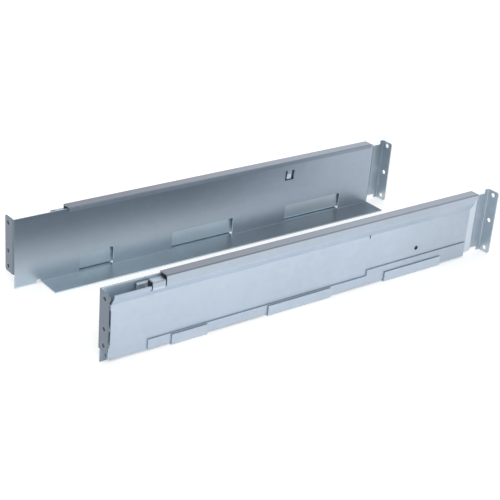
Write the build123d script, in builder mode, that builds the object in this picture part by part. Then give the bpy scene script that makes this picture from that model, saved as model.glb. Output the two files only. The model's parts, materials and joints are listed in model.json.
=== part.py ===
"""Pair of telescopic support rails for a UPS in a 19 inch rack.

Each rail is a front rail with a shelf, and an extension that slides on it and carries the
rear ear. A rail is modelled with u across it, from the outside towards the shelf, y along it
from the face of the front ear, and z up from the underside of the shelf.
"""

import os

from build123d import *

# sheet metal
sheet = 1.2  # thickness of every sheet
bend = 0.6  # radius on the inside of a bend
slide_gap = 0.3  # clearance between sheets that slide on each other

# hole heights of a 19 inch rack, counted from the lower edge of a rack unit
rack_hole_1 = 6.35
rack_hole_2 = 22.225
rack_hole_3 = 38.1
rack_hole_5 = 66.675
unit_edge = -1.6  # lower edge of the rack unit, below the shelf

# a whole rail
closed_length = 470.5  # from the face of the front ear to the face of the rear ear

# front rail
rail_setback = 22.5  # from the end of the rail to the face of the rear ear
rail_height = 71.0
web_face = 10.2  # inner face of the web, the side that faces the shelf
shelf_width = 26.5
shelf_start = 30.0
notch_width = 6.0
notch_height = 4.0

# front ear
ear_width = 15.2
ear_bottom = 14.8
ear_cut = 1.6
ear_corner = 1.2
ear_hole_u = 0.9
ear_hole_radius = 3.2

# clinch nuts pressed into the front ear
nut_radius = 3.9
nut_height = 2.4
nut_thread_radius = 2.1

# windows in the web, and the tabs that are folded out of them under the extension
windows = ((71.0, 39.0), (179.0, 77.5), (326.5, 78.5))  # start and length of each
window_height = 20.5
window_corner = 3.0
tab_height = 10.8
tab_relief = 0.3
tab_rise = 0.1  # the foot of a tab springs up this much from the fold

# sprung tongue in the web
tongue_start = 322.5
tongue_opening = 12.4
tongue_sill = 50.0
tongue_opening_height = 11.2
tongue_width = 5.6
tongue_length = 10.4
tongue_lean = 1.4

# extension channel
channel_start = 6.0
channel_setback = 8.0  # from the end of the channel to the end of the front rail
hem_start = 44.0
hem_setback = 9.5
hem_low = 11.7
hem_high = 18.0
hem_step = 300.0
hem_gap = 0.2
hem_bend = 0.09  # inside the hem, just under half its gap
lip_start = 58.2
lip_setback = 4.0
lip_end_height = 66.0
lip_drop = 4.5
lip_bend = 1.5  # outside of the lip, tight over the edge of the front rail
offset_low = 55.0  # the web steps outwards between these two heights
offset_high = 63.0
offset_depth = 4.7
open_edge = 65.5  # top of the web where the lip is cut away
hook_start = 44.0
hook_length = 13.0
hook_clearance = 0.3
hook_top = 68.8
catch_start = 31.5  # the hook runs on behind the open edge as a catch with its side turned down
catch_length = 11.0
catch_face = 5.8
catch_foot = 62.5
slit_width = 1.2
slit_bottom = 60.0
slot_start = 299.0
slot_bottom = 51.5
slot_length = 4.6
slot_width = 1.2
spacers = ((3.0, 13.4), (49.6, 5.4))  # foot and height of each tongue on the channel's end

# rear bracket
bracket_start = 318.0
bracket_bottom = 4.6
bracket_offset = 4.4
offset_run = 6.0
offset_place = 14.5  # from the end of the step to the face of the rear ear
rear_ear_width = 14.8
rear_ear_bottom = 0.1
rear_ear_cut = 3.0
rear_ear_lead = 4.0
rear_hole_edge = 6.8
rear_hole_radius = 2.3

# rivet that holds the bracket
rivet_place = 366.5
rivet_height = 27.0
rivet_radius = 1.7
rivet_bore = 1.2
rivet_head = 2.3
rivet_head_height = 0.4

# the pair as it lies
rail_spacing = 172.5  # between the outer faces of the two rails
left_pull = 0.0  # how far each extension is drawn out
right_pull = 3.0

# heights and places that follow
rail_length = closed_length - rail_setback
channel_end = rail_length - channel_setback
hem_end = rail_length - hem_setback
lip_end = rail_length - lip_setback
hole_low = unit_edge + rack_hole_1
hole_second = unit_edge + rack_hole_2
hole_mid = unit_edge + rack_hole_3
hole_top = unit_edge + rack_hole_5
front_holes = (hole_second, hole_mid, hole_top)
rear_holes = (hole_low, hole_mid, hole_top)
ear_middle = (hole_low + hole_top) / 2
web_back = web_face - sheet
panel_face = offset_depth
panel_back = panel_face + sheet
hem_outer = panel_face - hem_gap - sheet
tab_outer = hem_outer - slide_gap - sheet
tab_floor = tab_rise + sheet
hem_floor = tab_floor + slide_gap
lip_under = rail_height + slide_gap
lip_top = lip_under + sheet
lip_outer = web_face + slide_gap + sheet
rear_ear_top = 2 * ear_middle - rear_ear_bottom
bracket_top = 2 * ear_middle - bracket_bottom
bracket_middle = panel_back + sheet / 2
overall_length = closed_length + max(left_pull, right_pull) + sheet


def folded_sheet(points, radius):
    """Section of a folded sheet: one face follows the points, and the sheet lies on its left."""
    with BuildSketch() as section:
        with BuildLine():
            FilletPolyline(*points, radius=radius)
            offset(amount=sheet, side=Side.LEFT)
        make_face()
    return section.sketch


def across(y):
    """Plane that cuts the rail square at y, seen from the front, with u and z as its axes."""
    return Plane.XZ.offset(-y)


def make_front_rail():
    with BuildPart() as rail:
        # web and shelf
        with BuildSketch(across(shelf_start)):
            add(
                folded_sheet(
                    ((web_face + shelf_width, sheet), (web_face, sheet), (web_face, rail_height)),
                    bend,
                )
            )
        extrude(amount=shelf_start - rail_length)
        # plain end of the web, with the notch that parts it from the shelf
        with BuildSketch(Plane.YZ.offset(web_back)):
            with Locations((bend + sheet, 0)):
                Rectangle(shelf_start - bend - sheet, rail_height, align=(Align.MIN, Align.MIN))
            with Locations((shelf_start - notch_width / 2, 0)):
                SlotCenterToCenter(2 * notch_height - notch_width, notch_width, 90, mode=Mode.SUBTRACT)
        extrude(amount=sheet)
        # front ear and its bend
        with BuildSketch(Plane.XY):
            add(
                folded_sheet(
                    ((web_face - ear_width, 0), (web_face, 0), (web_face, 2 * (bend + sheet))),
                    bend + sheet,
                )
            )
        extrude(amount=rail_height)
        with BuildSketch(Plane.XZ):
            with BuildLine():
                Polyline(
                    (web_face - ear_width, 0),
                    (web_face, 0),
                    (web_face, ear_bottom),
                    (web_face - ear_width + ear_cut, ear_bottom),
                    (web_face - ear_width, ear_bottom + ear_cut),
                    close=True,
                )
            make_face()
        extrude(amount=-bend - sheet, mode=Mode.SUBTRACT)
        fillet(rail.edges().filter_by(Axis.Y).group_by(Axis.X)[0].sort_by(Axis.Z)[-1], ear_corner)
        with BuildSketch(Plane.XZ):
            with Locations(*[(ear_hole_u, height) for height in front_holes]):
                Circle(ear_hole_radius)
        extrude(amount=-sheet, mode=Mode.SUBTRACT)
        # windows, and the tabs folded out of them
        for start, length in windows:
            with BuildSketch(Plane.YZ.offset(web_back - sheet)) as window:
                with Locations((start, 0)):
                    Rectangle(length, window_height, align=(Align.MIN, Align.MIN))
                fillet(window.vertices().group_by(Axis.Z)[-1], window_corner)
            extrude(amount=2 * sheet + bend, mode=Mode.SUBTRACT)
            with BuildSketch(across(start + tab_relief)):
                add(
                    folded_sheet(
                        (
                            (web_face + 2 * bend, tab_floor),
                            (tab_outer + sheet, tab_floor),
                            (tab_outer + sheet, tab_height),
                        ),
                        bend / 2,
                    )
                )
            extrude(amount=2 * tab_relief - length)
        # sprung tongue
        with BuildSketch(Plane.YZ.offset(web_back)):
            with Locations((tongue_start, tongue_sill)):
                Rectangle(tongue_opening, tongue_opening_height, align=(Align.MIN, Align.MIN))
        extrude(amount=sheet, mode=Mode.SUBTRACT)
        tongue_root = tongue_sill + tongue_opening_height
        with BuildSketch(across(tongue_start + (tongue_opening - tongue_width) / 2)):
            with BuildLine():
                Polyline(
                    (web_back, tongue_root),
                    (web_face, tongue_root),
                    (web_face - tongue_lean, tongue_root - tongue_length),
                    (web_back - tongue_lean, tongue_root - tongue_length),
                    close=True,
                )
            make_face()
        extrude(amount=-tongue_width)
    return rail.part


def make_ear_nuts():
    with BuildPart() as nuts:
        for height in front_holes:
            with BuildSketch(Plane(origin=(ear_hole_u, 0, height), x_dir=(1, 0, 0), z_dir=(0, 0, 1))):
                with BuildLine():
                    Polyline(
                        (nut_thread_radius, 0),
                        (ear_hole_radius, 0),
                        (ear_hole_radius, sheet),
                        (nut_radius, sheet),
                        (nut_radius, sheet + nut_height),
                        (nut_thread_radius, sheet + nut_height),
                        close=True,
                    )
                make_face()
            revolve(axis=Axis((ear_hole_u, 0, height), (0, 1, 0)))
    return nuts.part


def make_extension_channel():
    with BuildPart() as channel:
        # lip, offset web and hem in one section
        with BuildSketch(across(channel_start)):
            add(
                folded_sheet(
                    (
                        (lip_outer, lip_top - lip_drop),
                        (lip_outer, lip_top),
                        (0, lip_top),
                        (0, offset_high),
                        (panel_face, offset_low),
                        (panel_face, hem_floor + sheet),
                        (panel_face - hem_gap, hem_floor + sheet),
                        (panel_face - hem_gap, hem_high),
                    ),
                    [lip_bend, lip_bend, bend + sheet, bend, hem_bend, hem_bend],
                )
            )
        extrude(amount=channel_start - lip_end)
        # what is trimmed from the section along its length
        with BuildSketch(Plane.YZ.offset(-sheet)):
            with Locations((channel_start, open_edge)):
                Rectangle(lip_start - channel_start, lip_top, align=(Align.MIN, Align.MIN))
            with Locations((channel_end, 0)):
                Rectangle(lip_end, lip_end_height, align=(Align.MIN, Align.MIN))
        extrude(amount=lip_outer + 2 * sheet, mode=Mode.SUBTRACT)
        with BuildSketch(Plane.YZ.offset(-sheet)):
            with Locations((channel_start, 0)):
                Rectangle(hem_start - channel_start, hem_high, align=(Align.MIN, Align.MIN))
            with Locations((hem_end, 0)):
                Rectangle(lip_end - hem_end, hem_high, align=(Align.MIN, Align.MIN))
            with Locations((channel_start, hem_low)):
                Rectangle(hem_step - channel_start, hem_high, align=(Align.MIN, Align.MIN))
        extrude(amount=panel_face - hem_gap / 2 + sheet, mode=Mode.SUBTRACT)
        with BuildSketch(Plane.YZ.offset(-sheet)):
            for slit_end in (hook_start, hook_start + hook_length + slit_width):
                with Locations((slit_end, slit_bottom)):
                    Rectangle(slit_width, open_edge, align=(Align.MAX, Align.MIN))
            with Locations((slot_start + slot_width / 2, slot_bottom + slot_length / 2)):
                SlotOverall(slot_length, slot_width, 90)
            with Locations((rivet_place, rivet_height)):
                Circle(rivet_radius)
        extrude(amount=panel_back + 2 * sheet, mode=Mode.SUBTRACT)
        # hook between the slits, folded flat towards the front rail
        hook_edge = web_back - hook_clearance
        with BuildSketch(across(hook_start)):
            add(
                folded_sheet(
                    ((hook_edge, hook_top), (0, hook_top), (0, slit_bottom + sheet)),
                    bend + sheet,
                )
            )
        extrude(amount=-hook_length)
        # the catch, and the neck that ties it to the hook
        with BuildSketch(across(catch_start)):
            add(
                folded_sheet(
                    ((hook_edge, hook_top), (catch_face, hook_top), (catch_face, catch_foot)),
                    bend + sheet,
                )
            )
        extrude(amount=-catch_length)
        neck_start = catch_face + bend + sheet
        with BuildSketch(Plane.XY.offset(hook_top - sheet)):
            with Locations((neck_start, catch_start)):
                Rectangle(hook_edge - neck_start, hook_start - catch_start, align=(Align.MIN, Align.MIN))
        extrude(amount=sheet)
        # tongues at the open end that keep the pocket its width
        for foot, height in spacers:
            with BuildSketch(Plane.XY.offset(foot)):
                add(
                    folded_sheet(
                        (
                            (panel_face, channel_start + sheet),
                            (panel_face, channel_start - sheet),
                            (hook_edge, channel_start - sheet),
                        ),
                        bend + sheet,
                    )
                )
            extrude(amount=height)
    return channel.part


def make_rear_bracket():
    """The bracket as it is fitted upright: stepped inwards, with its ear pointing outwards."""
    step_end = closed_length - offset_place
    neck_face = panel_back + sheet + bracket_offset
    ear_tip = neck_face - rear_ear_width
    with BuildPart() as bracket:
        with BuildSketch(Plane.XY.offset(rear_ear_bottom)):
            add(
                folded_sheet(
                    (
                        (panel_back + sheet, bracket_start),
                        (panel_back + sheet, step_end - offset_run),
                        (neck_face, step_end),
                        (neck_face, closed_length + sheet),
                        (ear_tip, closed_length + sheet),
                    ),
                    [bend, bend + sheet, bend + sheet],
                )
            )
        extrude(amount=rear_ear_top - rear_ear_bottom)
        # plate and neck are lower than the ear
        lead = closed_length - rear_ear_lead
        with BuildSketch(Plane.YZ):
            with Locations((lead, 0)):
                Rectangle(lead, bracket_bottom, align=(Align.MAX, Align.MIN))
            with Locations((lead, bracket_top)):
                Rectangle(lead, rear_ear_top, align=(Align.MAX, Align.MIN))
        extrude(amount=2 * neck_face, mode=Mode.SUBTRACT)
        ear_corners = bracket.edges().filter_by(Axis.Y).group_by(Axis.X)[0]
        fillet(ear_corners, rear_ear_cut)
        with BuildSketch(across(closed_length)):
            with Locations(*[(ear_tip + rear_hole_edge, height) for height in rear_holes]):
                Circle(rear_hole_radius)
        extrude(amount=-sheet, mode=Mode.SUBTRACT)
        # one hole for the rivet, and its twin for the bracket turned over
        with BuildSketch(Plane.YZ.offset(panel_back)):
            for height in (rivet_height, 2 * ear_middle - rivet_height):
                with Locations((rivet_place, height)):
                    Circle(rivet_radius)
        extrude(amount=sheet, mode=Mode.SUBTRACT)
    return bracket.part


def make_bracket_rivet():
    head_face = panel_face - rivet_head_height
    tail_face = panel_back + sheet + rivet_head_height
    with BuildPart() as rivet:
        with BuildSketch(Plane(origin=(0, rivet_place, rivet_height), x_dir=(1, 0, 0), z_dir=(0, 0, 1))):
            with BuildLine():
                Polyline(
                    (head_face, rivet_bore),
                    (head_face, rivet_head - rivet_head_height),
                    (panel_face, rivet_head),
                    (panel_face, rivet_radius),
                    (panel_back + sheet, rivet_radius),
                    (panel_back + sheet, rivet_head - rivet_head_height / 2),
                    (tail_face, rivet_head - rivet_head_height),
                    (tail_face, rivet_bore),
                    close=True,
                )
            make_face()
        revolve(axis=Axis((0, rivet_place, rivet_height), (1, 0, 0)))
    return rivet.part


def turn_over(bracket):
    """Half a turn about the middle of the bracket's plate, which swaps top and bottom."""
    return bracket.rotate(Axis((bracket_middle, 0, ear_middle), (0, 1, 0)), 180)


def place(piece, side, pull):
    """Put a piece of a rail in its place in the pair. The right rail is the left one mirrored."""
    placed = Pos(-rail_spacing / 2, pull - overall_length / 2, 0) * piece
    if side == "right":
        placed = mirror(placed, about=Plane.YZ)
    return placed


def write(piece, name):
    piece.label = name
    export_step(piece, f"parts/{name}.step")


os.makedirs("parts", exist_ok=True)
front_rail = make_front_rail()
ear_nuts = make_ear_nuts()
extension_channel = make_extension_channel()
rear_bracket = make_rear_bracket()
bracket_rivet = make_bracket_rivet()
for side, pull, bracket in (
    ("left", left_pull, turn_over(rear_bracket)),
    ("right", right_pull, rear_bracket),
):
    write(place(front_rail, side, 0), f"{side}_front_rail")
    write(place(ear_nuts, side, 0), f"{side}_ear_nuts")
    write(place(extension_channel, side, pull), f"{side}_extension_channel")
    write(place(bracket, side, pull), f"{side}_rear_bracket")
    write(place(bracket_rivet, side, pull), f"{side}_bracket_rivet")
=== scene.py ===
import json
import math

import bpy
from mathutils import Matrix, Vector


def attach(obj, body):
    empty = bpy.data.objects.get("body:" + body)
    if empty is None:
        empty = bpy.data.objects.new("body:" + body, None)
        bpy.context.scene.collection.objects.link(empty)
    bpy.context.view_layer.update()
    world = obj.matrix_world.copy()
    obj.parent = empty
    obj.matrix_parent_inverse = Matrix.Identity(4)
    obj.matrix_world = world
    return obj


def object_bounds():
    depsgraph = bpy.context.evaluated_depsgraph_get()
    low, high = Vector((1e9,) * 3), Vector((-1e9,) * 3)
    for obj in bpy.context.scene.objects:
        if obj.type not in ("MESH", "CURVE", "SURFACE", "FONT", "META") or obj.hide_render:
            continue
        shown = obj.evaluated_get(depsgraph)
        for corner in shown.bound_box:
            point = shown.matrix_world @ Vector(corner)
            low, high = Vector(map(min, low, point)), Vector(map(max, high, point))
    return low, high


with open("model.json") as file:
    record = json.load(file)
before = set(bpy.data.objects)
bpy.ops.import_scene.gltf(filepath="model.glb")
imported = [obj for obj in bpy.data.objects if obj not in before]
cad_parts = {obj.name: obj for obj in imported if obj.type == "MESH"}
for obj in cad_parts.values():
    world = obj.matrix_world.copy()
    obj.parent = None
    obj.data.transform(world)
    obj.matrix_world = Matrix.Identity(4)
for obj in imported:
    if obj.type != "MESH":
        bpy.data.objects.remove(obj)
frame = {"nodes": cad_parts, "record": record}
cadBounds = [list(corner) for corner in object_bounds()]
print("frame loaded:", len(frame["nodes"]), "nodes")

# the photograph's viewpoint, found from the rack holes and the ends of the rails
viewpoint = {
    "place": (0.8576, -0.72135, 0.5493),
    "yaw": -50.61,  # from straight along the rails, turned clockwise
    "pitch": -25.35,
    "roll": 4.95,
    "focal": 1240.14,  # in pixels of the picture
    "picture": 500,
    "sensor": 36.0,
    "nearest": 0.01,  # what is closer to the camera isn't seen
}


def placeCamera(view):
    yaw, pitch, roll = (math.radians(view[name]) for name in ("yaw", "pitch", "roll"))
    ahead = Vector((math.sin(yaw) * math.cos(pitch), math.cos(yaw) * math.cos(pitch), math.sin(pitch)))
    level = Vector((math.cos(yaw), -math.sin(yaw), 0))
    upright = level.cross(ahead)
    rightward = math.cos(roll) * level + math.sin(roll) * upright
    upward = math.cos(roll) * upright - math.sin(roll) * level
    data = bpy.data.cameras.new("camera")
    data.sensor_width = view["sensor"]
    data.lens = view["focal"] / view["picture"] * view["sensor"]
    data.clip_start = view["nearest"]
    camera = bpy.data.objects.new("camera", data)
    turn = Matrix((rightward, upward, -ahead)).transposed()
    camera.matrix_world = Matrix.Translation(view["place"]) @ turn.to_4x4()
    bpy.context.collection.objects.link(camera)
    bpy.context.scene.camera = camera


placeCamera(viewpoint)
bpy.context.scene.view_settings.view_transform = "Standard"
print("camera placed")


# an output in a node tree that can be used in sums
class Wire:
    def __init__(self, graph, socket):
        self.graph = graph
        self.socket = socket

    # another output of the same node
    def other(self, name):
        return Wire(self.graph, self.socket.node.outputs[name])

    def work(self, operation, first, second=0.0):
        return self.graph.add("ShaderNodeMath", {"operation": operation}, {0: first, 1: second})

    def larger(self, other):
        return self.work("MAXIMUM", self, other)

    def __abs__(self):
        return self.work("ABSOLUTE", self)

    def __add__(self, other):
        return self.work("ADD", self, other)

    def __radd__(self, other):
        return self.work("ADD", other, self)

    def __sub__(self, other):
        return self.work("SUBTRACT", self, other)

    def __rsub__(self, other):
        return self.work("SUBTRACT", other, self)

    def __mul__(self, other):
        return self.work("MULTIPLY", self, other)

    def __rmul__(self, other):
        return self.work("MULTIPLY", other, self)


# a node tree that is filled node by node
class Graph:
    def __init__(self, tree):
        self.tree = tree
        tree.nodes.clear()

    # one node: its settings first, then the values or wires of its sockets
    def add(self, kind, settings=None, sockets=None, output=0):
        node = self.tree.nodes.new(kind)
        for name, value in (settings or {}).items():
            setattr(node, name, value)
        for name, value in (sockets or {}).items():
            if isinstance(value, Wire):
                self.tree.links.new(value.socket, node.inputs[name])
            else:
                node.inputs[name].default_value = value
        if node.outputs:
            return Wire(self, node.outputs[output])

    def noise(self, place, scale, detail, stretch=(1, 1, 1), roughness=0.5):
        stretched = self.add(
            "ShaderNodeMapping",
            {"vector_type": "POINT"},
            {"Vector": place, "Scale": stretch},
        )
        return self.add(
            "ShaderNodeTexNoise",
            {"noise_dimensions": "3D"},
            {"Vector": stretched, "Scale": scale, "Detail": detail, "Roughness": roughness},
        )

    # 0 below low, 1 above high
    def between(self, value, low, high):
        return self.add(
            "ShaderNodeMapRange",
            {"interpolation_type": "SMOOTHSTEP"},
            {"Value": value, "From Min": low, "From Max": high},
        )

    # 1 from start to end, fading to 0 outside of them
    def within(self, value, start, end, fade):
        return self.between(value, start - fade, start) * (1 - self.between(value, end, end + fade))

    # from the first to the second colour; 6, 7 and output 2 are the Mix node's colour sockets
    def mix(self, share, first, second):
        first, second = (tone if isinstance(tone, Wire) else colour(tone) for tone in (first, second))
        return self.add(
            "ShaderNodeMix",
            {"data_type": "RGBA"},
            {"Factor": share, 6: first, 7: second},
            2,
        )


def colour(values):
    return (*values, 1.0)


# the sum of some patterns, each by its share
def blend(patterns, shares):
    return sum(share * patterns[name] for name, share in shares.items())


def newMaterial(name):
    material = bpy.data.materials.new(name)
    material.use_nodes = True
    return material, Graph(material.node_tree)


# Places on the folded sheets, as bounds on what is measured there: up, along, side (how far from
# the middle of the pair) and end (1 on a cut that faces along the rail). A bound is where the
# place starts, where it ends and how far it fades.
places = {
    "shelf": {"up": (-0.1, 0.00125, 0.0001), "side": (0.0, 0.0762, 0.0002)},
    "outer side": {"side": (0.0768, 0.0800, 0.0003)},
    "pocket": {"side": (0.0, 0.0806, 0.0006)},
    "lip top": {"up": (0.0718, 1.0, 0.0006)},
}

# zinc coated sheets: a tone, and zones of painted light and shade that have a tone of their own, a
# later one over an earlier one
zincSheets = {
    "front_rail_zinc": {
        # the rail's tone is painted shade: darker than the extension's zinc, for the shaded inner web
        "tone": (0.197, 0.240, 0.291),
        "paintedLightZones": (
            ({"up": (-0.1, 0.004, 0.058)}, (0.465, 0.545, 0.62)),  # the foot of the web: painted reflection, lighter towards the bottom
            ({"along": (0.15, 1.0, 0.22)}, (0.345, 0.40, 0.48)),  # its rear end: painted light
            # the outer side: painted light, lighter than the shaded inner side
            (places["outer side"], (0.56, 0.65, 0.72)),
            ({"side": (0.0825, 0.2, 0.0003)}, (0.50, 0.57, 0.65)),  # the tabs: painted light
            # the shelf: painted reflection of the bright room
            (places["shelf"], (0.66, 0.77, 0.84)),
            ({**places["shelf"], "along": (0.1, 1.0, 0.3)}, (0.39, 0.445, 0.49)),  # its rear part: painted shade, darker than the front of the shelf
            ({"side": (0.0, 0.0775, 0.0001), "end": (0.9, 2, 0.1)}, (0.72, 0.75, 0.78)),  # cut edges: bright sheared steel with a painted highlight
            ({"along": (-1.0, -0.2361, 0.0002)}, (0.17, 0.205, 0.245)),  # the ear: painted shade, facing away from the light
            (
                {**places["outer side"], "along": (-1.0, -0.229, 0.001), "up": (-0.1, 0.0125, 0.001)},
                (0.27, 0.32, 0.38),
            ),  # the web below the ear, outside: painted shade under the ear
        ),
        "metal": 0.9,
        "gloss": 0.30,  # the least roughness
        "shift": (0.0, 0.0, 0.0),
    },
    "extension_zinc": {
        "tone": (0.485, 0.56, 0.65),
        "paintedLightZones": (
            ({"along": (0.22, 1.0, 0.14)}, (0.405, 0.47, 0.545)),  # the rear end: painted shade
            ({"up": (0.0638, 0.0712, 0.0006)}, (0.425, 0.49, 0.57)),  # the strip under the lip: painted shade
            ({"up": (0.0555, 0.0625, 0.0006)}, (0.545, 0.63, 0.73)),  # the step to the panel: painted light on the slope
            # the pocket: painted light
            (places["pocket"], (0.54, 0.635, 0.70)),
            ({**places["pocket"], "along": (0.1, 1.0, 0.3)}, (0.70, 0.82, 0.90)),  # its rear part: painted light, lighter still
            # the lip top: painted shade, darker on top
            (places["lip top"], (0.225, 0.25, 0.295)),
            ({**places["lip top"], "along": (0.15, 1.0, 0.3)}, (0.325, 0.365, 0.43)),  # its rear part: painted shade, less dark
            ({"side": (0.0, 0.0746, 0.0008)}, (0.25, 0.305, 0.37)),  # the lip's side over the shelf: painted shade
            (
                {"up": (0.0686, 0.0690, 0.0001), "along": (-1.0, -0.19, 0.001)},
                (0.23, 0.265, 0.31),
            ),  # the hook's top: painted shade
        ),
        "metal": 0.88,
        "gloss": 0.33,
        "shift": (3.1, 1.7, 0.4),
    },
    "bracket_zinc": {
        "tone": (0.56, 0.64, 0.71),
        "paintedLightZones": (
            ({"side": (0.0, 0.0770, 0.0005)}, (0.455, 0.52, 0.595)),  # the neck: painted shade
            ({"side": (0.0815, 1.0, 0.0005)}, (0.43, 0.505, 0.57)),  # the turned bracket's neck: painted shade, a darker copy of the same neck
            ({"along": (0.2331, 1.0, 0.0001)}, (0.50, 0.56, 0.61)),  # the ears: painted shade
        ),
        "metal": 0.9,
        "gloss": 0.31,
        "shift": (5.3, 2.9, 1.2),
    },
}

# the coat's patterns: their scales, and their shares in tone, roughness and relief
zincCoat = {
    "cloud": {"scale": 9.0, "detail": 3.0},
    "streak": {"scale": 130.0, "detail": 4.0, "stretch": (1.0, 0.03, 1.0), "roughness": 0.6},
    "grain": {"scale": 2600.0, "detail": 1.0},
    "spangle": 150.0,
    "toneShares": {"cloud": 0.5, "streak": 0.25, "spangle": 0.15, "grain": 0.10},
    "toneMiddle": 0.5,
    "contrast": 0.36,
    "roughShares": {"cloud": 0.06, "spangle": 0.03, "grain": 0.02},
    "reliefShares": {"streak": 0.4, "grain": 0.4, "spangle": 0.2},
    "relief": 0.00001,
    "reliefStrength": 0.3,
}


def zincFinish(name, sheet, coat):
    material, graph = newMaterial(name)
    spot = graph.add("ShaderNodeTexCoord")
    across = graph.add("ShaderNodeSeparateXYZ", {}, {"Vector": spot.other("Object")})
    facing = graph.add("ShaderNodeSeparateXYZ", {}, {"Vector": spot.other("Normal")})
    measures = {
        "side": abs(across),
        "along": across.other("Y"),
        "up": across.other("Z"),
        "end": abs(facing.other("Y")),
    }
    base = sheet["tone"]
    # each zone mixes its tone of painted light or shade over the sheet's tone
    for bounds, tone in sheet["paintedLightZones"]:
        inPaintedZone = math.prod(graph.within(measures[name], *bound) for name, bound in bounds.items())
        base = graph.mix(inPaintedZone, base, tone)
    moved = graph.add(
        "ShaderNodeMapping",
        {},
        {"Vector": spot.other("Object"), "Location": sheet["shift"]},
    )
    patterns = {name: graph.noise(moved, **coat[name]) for name in ("cloud", "streak", "grain")}
    cells = graph.add(
        "ShaderNodeTexVoronoi",
        {"feature": "F1"},
        {"Vector": moved, "Scale": coat["spangle"]},
        "Color",
    )
    patterns["spangle"] = graph.add("ShaderNodeRGBToBW", {}, {"Color": cells})
    tone = (blend(patterns, coat["toneShares"]) - coat["toneMiddle"]) * coat["contrast"] + 1.0
    base = graph.add("ShaderNodeVectorMath", {"operation": "SCALE"}, {0: base, "Scale": tone})
    relief = graph.add(
        "ShaderNodeBump",
        {},
        {
            "Strength": coat["reliefStrength"],
            "Distance": coat["relief"],
            "Height": blend(patterns, coat["reliefShares"]),
        },
    )
    shader = graph.add(
        "ShaderNodeBsdfPrincipled",
        {},
        {
            "Base Color": base,
            "Metallic": sheet["metal"],
            "Roughness": sheet["gloss"] + blend(patterns, coat["roughShares"]),
            "Normal": relief,
        },
    )
    graph.add("ShaderNodeOutputMaterial", {}, {"Surface": shader})
    return material


# small turned and pressed parts
smallSteels = {
    "nut_steel": {
        "dark": (0.17, 0.20, 0.235),
        "light": (0.27, 0.31, 0.355),
        "metal": 0.95,
        "gloss": 0.28,
    },
    # nearly black: painted shade, the dark of a hole, on the rivet head
    "rivet_steel": {
        "dark": (0.045, 0.05, 0.06),
        "light": (0.09, 0.10, 0.115),
        "metal": 0.85,
        "gloss": 0.38,
    },
}
steelSkin = {
    "patch": {"scale": 380.0, "detail": 3.0},
    "grain": {"scale": 5200.0, "detail": 1.0},
    "toneShares": {"patch": 0.7, "grain": 0.3},
    "toneSpan": (0.35, 0.65),
    "roughShares": {"patch": 0.15},
    "relief": 0.00002,
    "reliefStrength": 0.3,
}


def turnedFinish(name, steel, skin):
    material, graph = newMaterial(name)
    spot = graph.add("ShaderNodeTexCoord", output="Object")
    patterns = {name: graph.noise(spot, **skin[name]) for name in ("patch", "grain")}
    tone = graph.between(blend(patterns, skin["toneShares"]), *skin["toneSpan"])
    relief = graph.add(
        "ShaderNodeBump",
        {},
        {
            "Strength": skin["reliefStrength"],
            "Distance": skin["relief"],
            "Height": patterns["grain"],
        },
    )
    shader = graph.add(
        "ShaderNodeBsdfPrincipled",
        {},
        {
            "Base Color": graph.mix(tone, steel["dark"], steel["light"]),
            "Metallic": steel["metal"],
            "Roughness": steel["gloss"] + blend(patterns, skin["roughShares"]),
            "Normal": relief,
        },
    )
    graph.add("ShaderNodeOutputMaterial", {}, {"Surface": shader})
    return material


finishes = {name: zincFinish(name, sheet, zincCoat) for name, sheet in zincSheets.items()}
finishes.update({name: turnedFinish(name, steel, steelSkin) for name, steel in smallSteels.items()})
for subpart in frame["record"]["subparts"]:
    for slot in frame["nodes"][subpart["node"]].material_slots:
        slot.material = finishes[subpart["material_slot"]]
print("finishes made and put on:", len(finishes))


# threads of the clinch nuts: a fine helical ridge in each bore
nutThread = {
    "heights": (0.020625, 0.0365, 0.065075),  # rack hole heights above the shelf's underside
    "across": 0.08535,
    "depth": 0.0004,  # from the ear's face to the first turn
    "sizes": {"Turns": 3.5, "Pitch": 0.0008, "Radius": 0.00208, "Ridge": 0.00022},
    "stepsPerTurn": 20,
    "ridgeSides": 4,
    "lean": (math.radians(-90), 0, 0),  # from upright to along the bore
}


def threadTree(thread, material):
    tree = bpy.data.node_groups.new("nutThread", "GeometryNodeTree")
    graph = Graph(tree)
    tree.interface.new_socket("Geometry", in_out="INPUT", socket_type="NodeSocketGeometry")
    for name in thread["sizes"]:
        tree.interface.new_socket(name, in_out="INPUT", socket_type="NodeSocketFloat")
    tree.interface.new_socket("Geometry", in_out="OUTPUT", socket_type="NodeSocketGeometry")
    given = graph.add("NodeGroupInput")
    turns, pitch, radius, ridge = (given.other(name) for name in thread["sizes"])
    helix = graph.add(
        "GeometryNodeCurveSpiral",
        {},
        {
            "Resolution": thread["stepsPerTurn"],
            "Rotations": turns,
            "Start Radius": radius,
            "End Radius": radius,
            "Height": turns * pitch,
        },
    )
    outline = graph.add(
        "GeometryNodeCurvePrimitiveCircle",
        {},
        {"Resolution": thread["ridgeSides"], "Radius": ridge},
    )
    coil = graph.add(
        "GeometryNodeCurveToMesh",
        {},
        {"Curve": helix, "Profile Curve": outline, "Fill Caps": True},
    )
    spread = graph.add(
        "GeometryNodeInstanceOnPoints",
        {},
        {"Points": given, "Instance": coil, "Rotation": thread["lean"]},
    )
    real = graph.add("GeometryNodeRealizeInstances", {}, {"Geometry": spread})
    dressed = graph.add("GeometryNodeSetMaterial", {}, {"Geometry": real, "Material": material})
    graph.add("NodeGroupOutput", {}, {"Geometry": dressed})
    return tree


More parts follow.
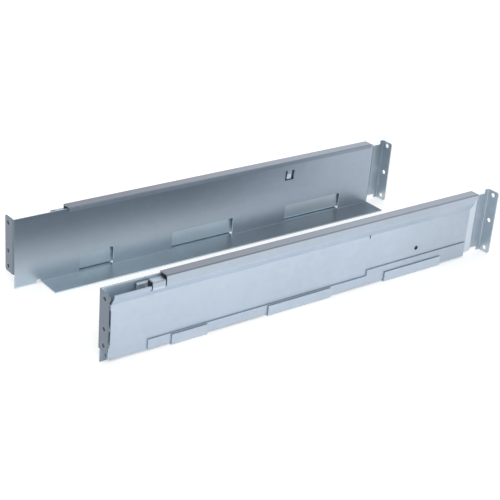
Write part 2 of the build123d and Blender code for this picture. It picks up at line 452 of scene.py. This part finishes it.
# runs a tree on a few points and gives the result as a plain mesh piece
def growPiece(name, tree, points, values):
    seed = bpy.data.meshes.new(name + "Seed")
    seed.from_pydata(points, [], [])
    holder = bpy.data.objects.new(name + "Seed", seed)
    bpy.context.collection.objects.link(holder)
    grow = holder.modifiers.new("grow", "NODES")
    grow.node_group = tree
    for item in tree.interface.items_tree:
        if item.in_out == "INPUT" and item.name in values:
            grow[item.identifier] = values[item.name]
    bpy.context.view_layer.update()
    settled = holder.evaluated_get(bpy.context.evaluated_depsgraph_get())
    mesh = bpy.data.meshes.new_from_object(settled)
    mesh.name = name
    bpy.data.objects.remove(holder)
    piece = bpy.data.objects.new(name, mesh)
    bpy.context.collection.objects.link(piece)
    return piece


thread = threadTree(nutThread, finishes["nut_steel"])
frontFace = cadBounds[0][1]
firstTurn = frontFace + nutThread["depth"]
for side, sign in (("left", -1), ("right", 1)):
    starts = [(sign * nutThread["across"], firstTurn, height) for height in nutThread["heights"]]
    piece = growPiece(side + "NutThreads", thread, starts, nutThread["sizes"])
    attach(piece, "front_rails")
print("nut threads cut")


# floor, room and two soft boxes
studio = {
    "floorSize": 12.0,
    "floorDrop": 0.0002,
    "floorTone": 0.80,
    "floorOwnLight": 0.30,
    "roomLow": 1.0,  # brightness of the room near the horizon
    "roomHigh": 0.55,  # and overhead
    "roomLine": (0.12, 0.5),  # sine of the heights between which it darkens
    "roomLight": 0.75,  # strength of its light on matt surfaces
}
softBoxes = (
    {"name": "keyBox", "place": (1.9, -1.0, 1.9), "towards": (0, 0, 0), "size": 1.8, "power": 34.0},
    {"name": "fillBox", "place": (-1.4, 1.6, 2.2), "towards": (0, 0, 0), "size": 2.4, "power": 16.0},
)
white = colour((1, 1, 1))


# 1 for what is seen directly, in metal or through glass
def seenDirectly(graph):
    ray = graph.add("ShaderNodeLightPath", output="Is Camera Ray")
    return ray.larger(ray.other("Is Glossy Ray")).larger(ray.other("Is Transmission Ray"))


def layFloor(settings):
    half = settings["floorSize"] / 2
    corners = [(-half, -half, 0), (half, -half, 0), (half, half, 0), (-half, half, 0)]
    mesh = bpy.data.meshes.new("floor")
    mesh.from_pydata(corners, [], [(0, 1, 2, 3)])
    floor = bpy.data.objects.new("floor", mesh)
    floor.location.z = -settings["floorDrop"]
    bpy.context.collection.objects.link(floor)
    material, graph = newMaterial("paleFloor")
    matt = graph.add("ShaderNodeBsdfDiffuse", {}, {"Color": colour((settings["floorTone"],) * 3)})
    own = graph.add("ShaderNodeEmission", {}, {"Color": white, "Strength": settings["floorOwnLight"]})
    lit = graph.add("ShaderNodeAddShader", {}, {0: matt, 1: own})
    mixed = graph.add("ShaderNodeMixShader", {}, {0: seenDirectly(graph), 1: matt, 2: lit})
    graph.add("ShaderNodeOutputMaterial", {}, {"Surface": mixed})
    mesh.materials.append(material)


def lightRoom(settings):
    world = bpy.data.worlds.new("room")
    bpy.context.scene.world = world
    world.use_nodes = True
    graph = Graph(world.node_tree)
    towards = graph.add("ShaderNodeTexCoord", output="Generated")
    height = graph.add("ShaderNodeSeparateXYZ", {}, {"Vector": towards}, "Z")
    darkening = graph.between(height, *settings["roomLine"])
    brightness = settings["roomLow"] + (settings["roomHigh"] - settings["roomLow"]) * darkening
    strength = graph.add(
        "ShaderNodeMapRange",
        {},
        {"Value": seenDirectly(graph), "To Min": settings["roomLight"], "To Max": brightness},
    )
    room = graph.add("ShaderNodeBackground", {}, {"Color": white, "Strength": strength})
    graph.add("ShaderNodeOutputWorld", {}, {"Surface": room})


def hangBox(box):
    data = bpy.data.lights.new(box["name"], "AREA")
    data.shape = "SQUARE"
    data.size = box["size"]
    data.energy = box["power"]
    lamp = bpy.data.objects.new(box["name"], data)
    lamp.location = box["place"]
    aim = Vector(box["towards"]) - Vector(box["place"])
    lamp.rotation_euler = aim.to_track_quat("-Z", "Y").to_euler()
    bpy.context.collection.objects.link(lamp)


layFloor(studio)
lightRoom(studio)
for box in softBoxes:
    hangBox(box)
print("floor and lights in place")
